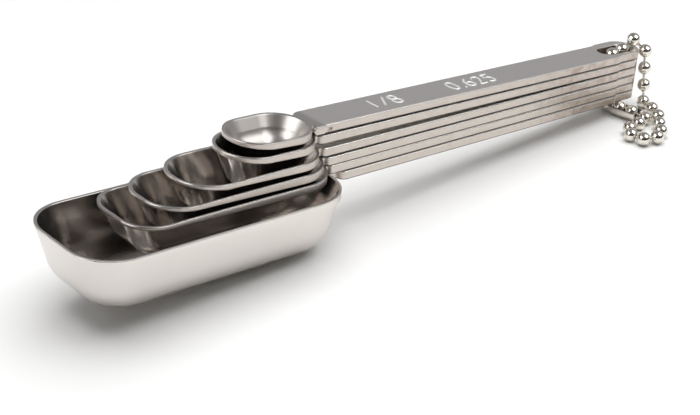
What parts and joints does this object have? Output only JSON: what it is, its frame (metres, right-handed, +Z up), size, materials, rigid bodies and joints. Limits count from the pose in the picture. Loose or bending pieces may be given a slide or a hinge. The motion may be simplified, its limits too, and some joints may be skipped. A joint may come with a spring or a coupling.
{
  "type": "measuring spoon set",
  "caption": "Nested stamped steel measuring spoons with oval bowls and flat handles, held by a ball chain through their handle ends.",
  "frame": {"origin": "on the table, under the middle of the nested set and its chain", "axes": "+X from the bowls towards the handle ends, +Z up, -Y towards the side where the chain loop lies"},
  "size_m": [0.1596, 0.0348, 0.0273],
  "materials": {
    "satin_steel": "satin",
    "bright_nickel": "polished"
  },
  "bodies": {
    "tablespoon": {"tablespoon": "satin_steel", "chain_ball_01": "bright_nickel", "chain_link_01": "bright_nickel", "chain_ball_02": "bright_nickel", "chain_link_10": "bright_nickel", "chain_ball_11": "bright_nickel", "chain_link_11": "bright_nickel", "chain_ball_12": "bright_nickel", "chain_link_12": "bright_nickel", "chain_ball_13": "bright_nickel", "chain_link_13": "bright_nickel", "chain_ball_14": "bright_nickel", "chain_link_14": "bright_nickel", "chain_ball_15": "bright_nickel", "chain_link_15": "bright_nickel", "chain_ball_16": "bright_nickel", "chain_link_16": "bright_nickel", "chain_ball_17": "bright_nickel", "chain_link_17": "bright_nickel", "chain_ball_18": "bright_nickel", "chain_link_18": "bright_nickel", "chain_ball_19": "bright_nickel", "chain_link_19": "bright_nickel", "chain_ball_20": "bright_nickel", "chain_link_20": "bright_nickel", "chain_ball_21": "bright_nickel", "chain_link_21": "bright_nickel", "chain_ball_22": "bright_nickel", "chain_ball_23": "bright_nickel", "chain_link_23": "bright_nickel", "chain_clasp": "bright_nickel"},
    "teaspoon": {"teaspoon": "satin_steel", "chain_link_02": "bright_nickel", "chain_ball_10": "bright_nickel"},
    "three_quarter_teaspoon": {"three_quarter_teaspoon": "satin_steel", "chain_ball_03": "bright_nickel", "chain_link_09": "bright_nickel"},
    "half_teaspoon": {"half_teaspoon": "satin_steel", "chain_link_03": "bright_nickel", "chain_ball_09": "bright_nickel"},
    "quarter_teaspoon": {"quarter_teaspoon": "satin_steel", "chain_ball_04": "bright_nickel", "chain_link_04": "bright_nickel", "chain_link_08": "bright_nickel"},
    "eighth_teaspoon": {"eighth_teaspoon": "satin_steel", "chain_ball_05": "bright_nickel", "chain_ball_06": "bright_nickel", "chain_ball_07": "bright_nickel", "chain_ball_08": "bright_nickel", "chain_link_05": "bright_nickel", "chain_link_06": "bright_nickel", "chain_link_07": "bright_nickel"}
  },
  "joints": [
    {"name": "teaspoon_lift", "type": "hinge", "parent": "tablespoon", "child": "teaspoon", "pos_m": [0.07613, 0.00362, 0.00507], "axis": [0, 1, 0], "range_deg": [0, 30], "deforming": ["chain_link_02", "chain_ball_10", "chain_ball_02", "chain_link_01", "chain_link_10"]},
    {"name": "three_quarter_teaspoon_lift", "type": "hinge", "parent": "teaspoon", "child": "three_quarter_teaspoon", "pos_m": [0.0763, 0.00362, 0.00701], "axis": [0, 1, 0], "range_deg": [0, 30], "deforming": ["chain_ball_03", "chain_link_09"]},
    {"name": "half_teaspoon_lift", "type": "hinge", "parent": "three_quarter_teaspoon", "child": "half_teaspoon", "pos_m": [0.07648, 0.00362, 0.00895], "axis": [0, 1, 0], "range_deg": [0, 30], "deforming": ["chain_link_03", "chain_ball_09"]},
    {"name": "quarter_teaspoon_lift", "type": "hinge", "parent": "half_teaspoon", "child": "quarter_teaspoon", "pos_m": [0.07666, 0.00362, 0.01089], "axis": [0, 1, 0], "range_deg": [0, 30], "deforming": ["chain_ball_04", "chain_link_04", "chain_link_08"]},
    {"name": "eighth_teaspoon_lift", "type": "hinge", "parent": "quarter_teaspoon", "child": "eighth_teaspoon", "pos_m": [0.07686, 0.00362, 0.01283], "axis": [0, 1, 0], "range_deg": [0, 30], "deforming": ["chain_ball_05", "chain_ball_06", "chain_ball_07", "chain_ball_08", "chain_link_05", "chain_link_06", "chain_link_07"]}
  ]
}
